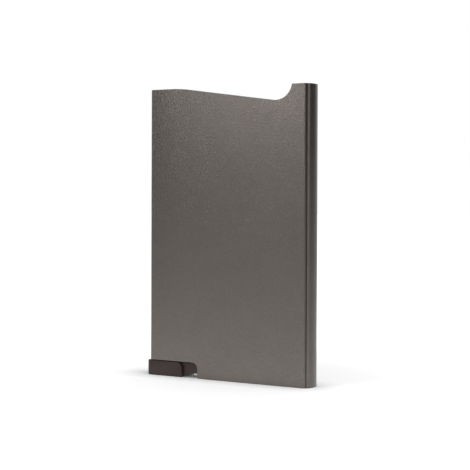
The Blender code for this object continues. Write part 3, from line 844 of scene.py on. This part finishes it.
def light_paths(recipe):
    """Whether a ray comes from the camera, from a glossy surface or through a clear one."""
    node = recipe.add("ShaderNodeLightPath").socket.node
    return [Signal(recipe, node.outputs[f"Is {kind} Ray"]) for kind in ("Camera", "Glossy", "Transmission")]


def make_floor():
    """A wide table. One glow lifts it to white for the camera, and another is what the face mirrors."""
    shape = bmesh.new()
    bmesh.ops.create_grid(shape, x_segments=1, y_segments=1, size=FLOOR_SIZE / 2)
    mesh = bpy.data.meshes.new("floor")
    shape.to_mesh(mesh)
    shape.free()
    floor = bpy.data.objects.new("floor", mesh)
    bpy.context.scene.collection.objects.link(floor)
    material = bpy.data.materials.new("floor_white")
    material.use_nodes = True
    recipe = Recipe(material.node_tree)
    recipe.tree.nodes.clear()
    camera_ray, glossy_ray, transmission_ray = light_paths(recipe)
    place = recipe.add("ShaderNodeTexCoord", output="Object")
    distance = recipe.add("ShaderNodeVectorMath", {"operation": "LENGTH"}, {0: place}, output="Value")
    beyond = recipe.fade(distance, *SHADOW_EDGE)
    in_front = recipe.fade(recipe.along(place, (0, 1, 0)), FRONT_EDGE, -FRONT_EDGE)
    seen, mirrored = (near + beyond * (far - near) for near, far in (FLOOR_WHITE, FLOOR_MIRRORED))
    white = (camera_ray + transmission_ray) * seen
    mirrored = glossy_ray * (1 - transmission_ray) * in_front * mirrored
    matt = recipe.add("ShaderNodeBsdfDiffuse", sockets={"Color": FLOOR_COLOUR})
    glow = recipe.add("ShaderNodeEmission", sockets={"Strength": white + mirrored})
    both = recipe.add("ShaderNodeAddShader", sockets={0: matt, 1: glow})
    output = recipe.tree.nodes.new("ShaderNodeOutputMaterial")
    recipe.feed(output.inputs["Surface"], both)
    mesh.materials.append(material)
    return floor


print("table in metres:", list(make_floor().dimensions[:2]))

# %% [markdown]
# The room is painted on the world by direction: white behind the holder as the camera looks at it, dim
# elsewhere, and darker still where the flag hangs. Diffuse light doesn't see these patches. It comes evenly
# from all sides, so the patches shape the reflections alone.

# %% Room
ROOM_MIRRORED = 0.125
ROOM_LIGHT = 0.6
WHITE = (1, 1, 1, 1)
AWAY = Vector((-math.sin(CAMERA_AZIMUTH), math.cos(CAMERA_AZIMUTH), 0))
BACKDROP_EDGE = (0.45, 0.9)
FLAG_AZIMUTH = math.radians(115)
FLAG_EDGE = (0.66, 0.84)
FLAG_DEPTH = 0.85


def make_world():
    """White to the camera. Metal mirrors a white backdrop, a dimmer room and a dark flag at the right."""
    world = bpy.data.worlds.new("room")
    world.use_nodes = True
    bpy.context.scene.world = world
    recipe = Recipe(world.node_tree)
    camera_ray, glossy_ray, transmission_ray = light_paths(recipe)
    plain = camera_ray + transmission_ray
    mirrored = glossy_ray * (1 - transmission_ray)
    way = recipe.add("ShaderNodeTexCoord", output="Generated")
    flag = Vector((math.sin(FLAG_AZIMUTH), -math.cos(FLAG_AZIMUTH), 0))
    backdrop = recipe.fade(recipe.along(way, AWAY), *BACKDROP_EDGE)
    room = ROOM_MIRRORED * (1 - FLAG_DEPTH * recipe.fade(recipe.along(way, flag), *FLAG_EDGE))
    studio = backdrop + (1 - backdrop) * room
    lit = 1 - plain - mirrored
    background = world.node_tree.nodes["Background"]
    recipe.feed(background.inputs["Color"], WHITE)
    recipe.feed(background.inputs["Strength"], plain + mirrored * studio + lit * ROOM_LIGHT)
    return world


print("world:", make_world().name)

# %% [markdown]
# The lamps are three small soft boxes, as small products are photographed. The first is high above the
# holder, a little to the right, and lights the table, so its shadow is short. The second, in front at the
# left, is what the face mirrors near its top. The third, at the right, is faint and lights the step beside
# the face.

# %% Lamps
TARGET = Vector((middle_x, 0, sleeve_size.z / 2))

# Name, width and height, watts, azimuth, elevation and distance
LAMPS = [
    ("top_box", (0.09, 0.09), 2.1, 80, 87.5, 0.6),
    ("key_box", (0.09, 0.1), 0.17, -24, 22, 0.33),
    ("side_card", (0.1, 0.1), 0.055, 62, 14, 0.35),
]


def make_lamp(name, size, power, azimuth, elevation, distance):
    """A soft box that faces the holder's middle. Azimuth 0 is in front of it and 90 at its right."""
    data = bpy.data.lights.new(name, "AREA")
    data.shape = "RECTANGLE"
    data.size, data.size_y = size
    data.energy = power
    lamp = bpy.data.objects.new(name, data)
    around, above = math.radians(azimuth), math.radians(elevation)
    level = math.cos(above)
    back = Vector((math.sin(around) * level, -math.cos(around) * level, math.sin(above)))
    face = back.to_track_quat("Z", "Y").to_matrix().to_4x4()
    lamp.matrix_world = Matrix.Translation(TARGET + back * distance) @ face
    lamp.visible_camera = False
    bpy.context.scene.collection.objects.link(lamp)
    return lamp


print("lamps:", [make_lamp(*row).name for row in LAMPS])
